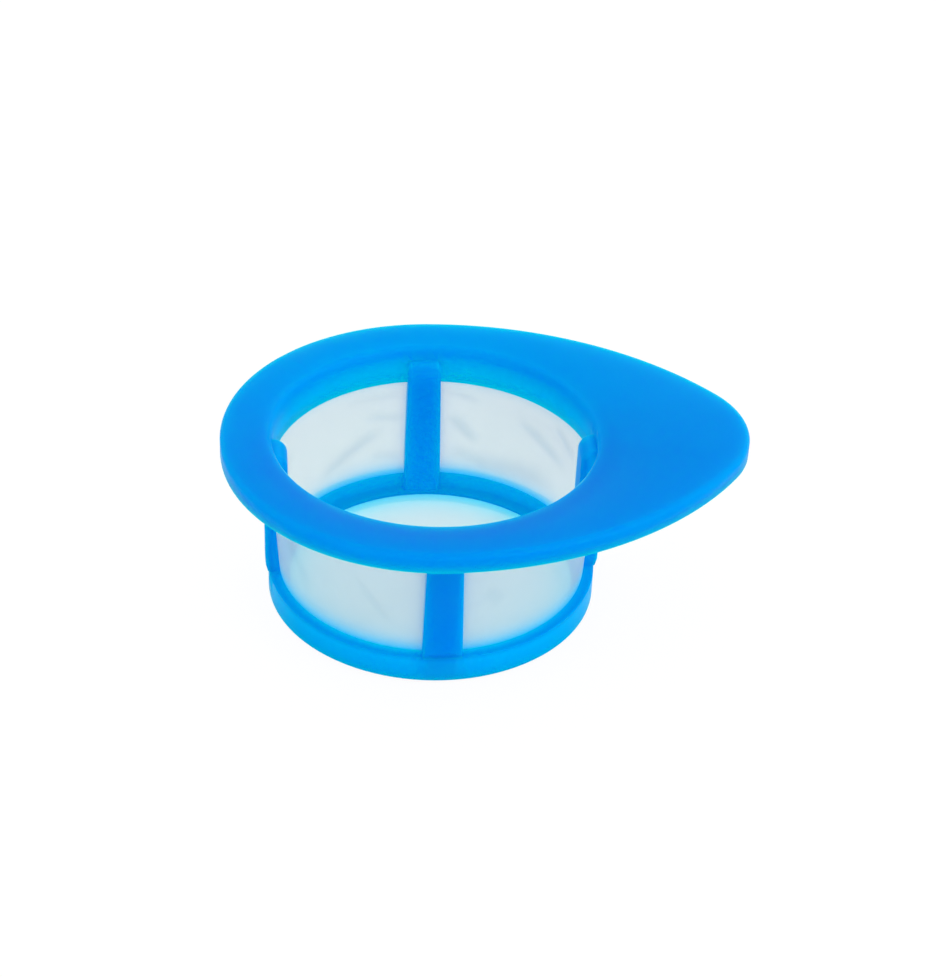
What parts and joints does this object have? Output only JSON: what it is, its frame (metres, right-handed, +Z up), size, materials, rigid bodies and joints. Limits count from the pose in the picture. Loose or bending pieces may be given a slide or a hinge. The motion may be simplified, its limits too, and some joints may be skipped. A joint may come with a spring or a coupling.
{
  "type": "cell strainer",
  "caption": "Cup-shaped cell strainer: teardrop flange with a finger tab, ribbed open basket with a fine mesh wall and mesh floor, hangs in the mouth of a centrifuge tube.",
  "frame": {"origin": "on the basket's axis at the foot of the bottom ring", "axes": "+Z up along the basket's axis to the mouth, +X towards the tip of the finger tab"},
  "size_m": [0.0422, 0.034, 0.0148],
  "materials": {
    "blue_plastic": "smooth, slightly translucent moulded polypropylene",
    "nylon_mesh": "fine woven nylon monofilament, pale and translucent"
  },
  "bodies": {
    "root": {"frame": "blue_plastic", "side_mesh": "nylon_mesh", "bottom_mesh": "nylon_mesh"}
  },
  "joints": []
}
